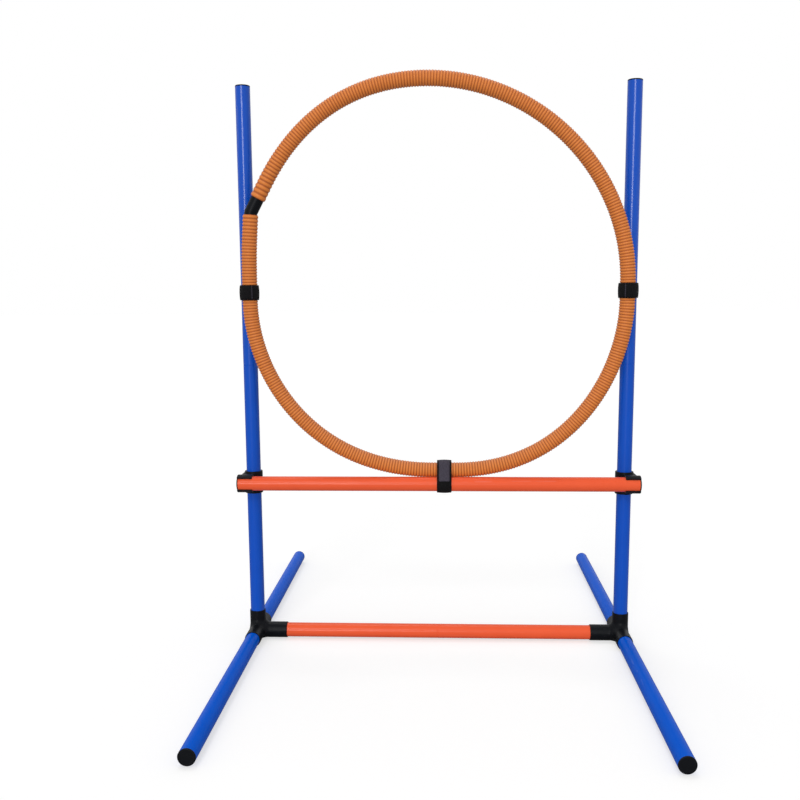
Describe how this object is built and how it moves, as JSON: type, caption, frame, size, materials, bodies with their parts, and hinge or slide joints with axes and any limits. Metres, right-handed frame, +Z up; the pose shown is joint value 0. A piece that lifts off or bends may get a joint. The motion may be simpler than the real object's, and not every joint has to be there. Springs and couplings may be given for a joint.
{
  "type": "hoop jump",
  "caption": "Free-standing agility jump for dogs: a ribbed hose hoop strapped to a post at each side, above a crossbar clipped on at a chosen height.",
  "frame": {"origin": "on the floor, midway between the two posts, which is also the middle of the legs' length", "axes": "+X to the right seen from the front, +Y to the back, +Z up; the crossbar and the hoop hang on the posts' front, at -Y"},
  "size_m": [0.694, 0.964, 0.975],
  "materials": {
    "blue_tube": "glossy blue plastic tube",
    "orange_tube": "glossy orange-red plastic tube",
    "orange_hose": "satin tan-orange flexible plastic",
    "black_plastic": "satin black moulded plastic",
    "strap_webbing": "black hook-and-loop strap"
  },
  "bodies": {
    "stand": {"left_corner_connector": "black_plastic", "left_front_leg": "blue_tube", "left_front_leg_plug": "black_plastic", "left_back_leg": "blue_tube", "left_back_leg_plug": "black_plastic", "left_lower_post": "blue_tube", "left_upper_post": "blue_tube", "left_post_sleeve": "black_plastic", "left_post_plug": "black_plastic", "left_lower_bar": "orange_tube", "right_corner_connector": "black_plastic", "right_front_leg": "blue_tube", "right_front_leg_plug": "black_plastic", "right_back_leg": "blue_tube", "right_back_leg_plug": "black_plastic", "right_lower_post": "blue_tube", "right_upper_post": "blue_tube", "right_post_sleeve": "black_plastic", "right_post_plug": "black_plastic", "right_lower_bar": "orange_tube", "lower_bar_sleeve": "black_plastic"},
    "bar_carriage": {"left_bar_clip": "black_plastic", "left_upper_bar": "orange_tube", "left_bar_plug": "black_plastic", "right_bar_clip": "black_plastic", "right_upper_bar": "orange_tube", "right_bar_plug": "black_plastic", "upper_bar_sleeve": "black_plastic"},
    "hoop": {"hoop_hose": "orange_hose", "hoop_joiner": "black_plastic", "left_hoop_strap": "strap_webbing", "right_hoop_strap": "strap_webbing", "bottom_hoop_strap": "strap_webbing"}
  },
  "joints": [
    {"name": "bar_height", "type": "slide", "parent": "stand", "child": "bar_carriage", "axis": [0, 0, 1], "range_m": [-0.21, 0.32]},
    {"name": "hoop_height", "type": "slide", "parent": "stand", "child": "hoop", "axis": [0, 0, 1], "range_m": [-0.21, 0.32]}
  ],
  "couplings": [
    {"joint": "hoop_height", "follows": "bar_height", "ratio": 1}
  ]
}
